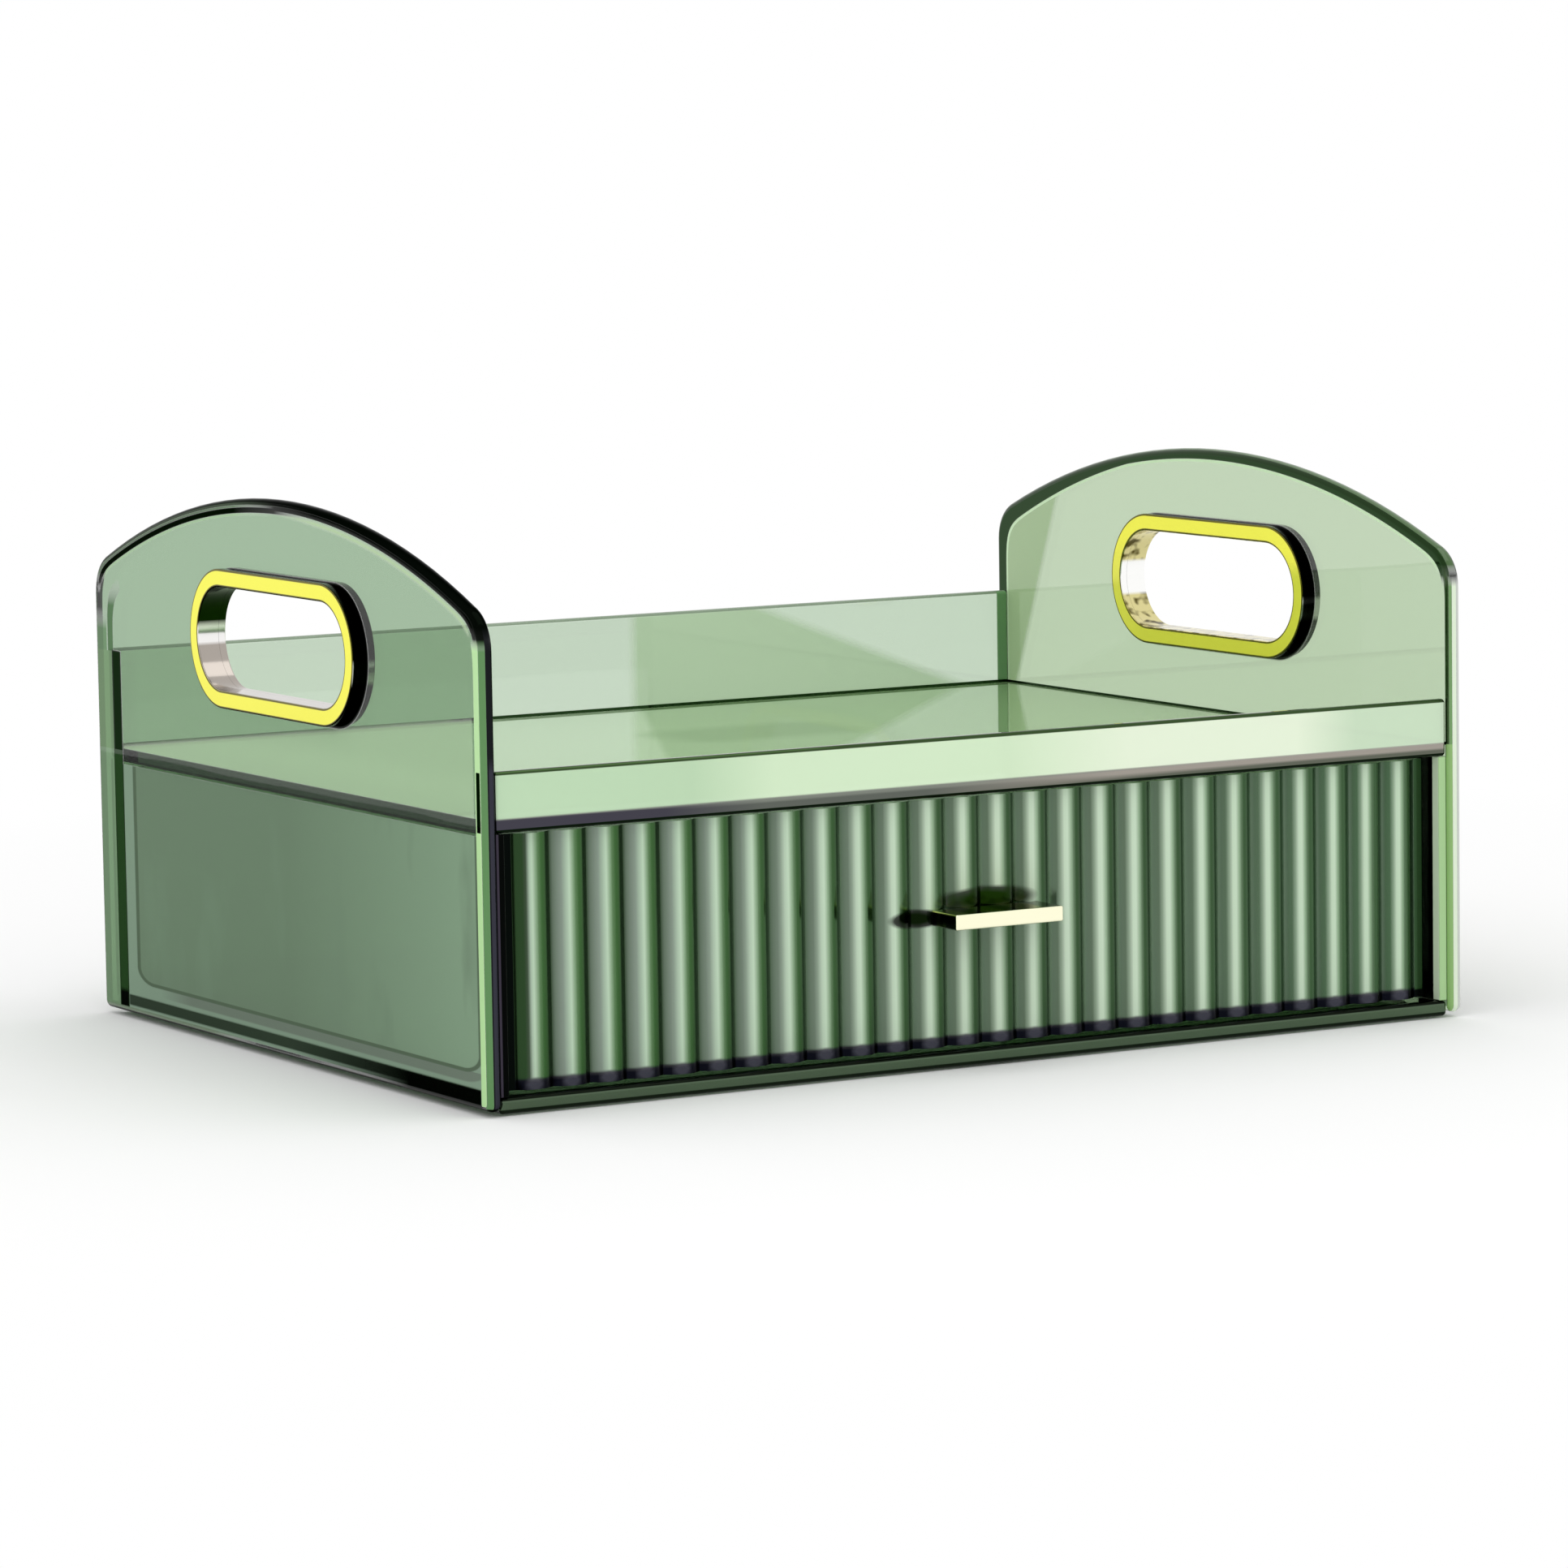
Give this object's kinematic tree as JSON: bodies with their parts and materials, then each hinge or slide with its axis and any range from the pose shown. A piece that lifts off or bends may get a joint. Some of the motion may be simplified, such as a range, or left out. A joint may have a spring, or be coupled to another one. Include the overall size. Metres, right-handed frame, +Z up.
{
  "type": "makeup storage box",
  "caption": "Desktop makeup storage box of clear green plastic: open tray on top with arched sides and gold-rimmed hand slots, and one drawer with a fluted front and bar handle.",
  "frame": {"origin": "on the surface that the box stands on, under the middle of its outline", "axes": "+Z up, the drawer front faces -Y, +X to the right of someone facing the front"},
  "size_m": [0.3146, 0.248, 0.1549],
  "materials": {
    "clear_green": "clear smoky green, polished",
    "gold_trim": "polished gold plating",
    "soft_pad": "soft, translucent",
    "screw_steel": "plated steel"
  },
  "bodies": {
    "casing": {"left_side_panel": "clear_green", "right_side_panel": "clear_green", "left_ring_outer": "gold_trim", "right_ring_outer": "gold_trim", "left_ring_inner": "gold_trim", "right_ring_inner": "gold_trim", "left_inner_wall": "clear_green", "right_inner_wall": "clear_green", "tray_floor": "clear_green", "tray_fence": "clear_green", "tray_back_wall": "clear_green", "rear_casing_panel": "clear_green", "base_plate": "clear_green", "anti_slip_pads": "soft_pad", "drawer_stops": "soft_pad"},
    "drawer": {"drawer_front": "clear_green", "drawer_tub": "clear_green", "drawer_handle": "gold_trim", "drawer_handle_screws": "screw_steel"}
  },
  "joints": [
    {"name": "drawer_slide", "type": "slide", "parent": "casing", "child": "drawer", "axis": [0, -1, 0], "range_m": [0, 0.15]}
  ]
}
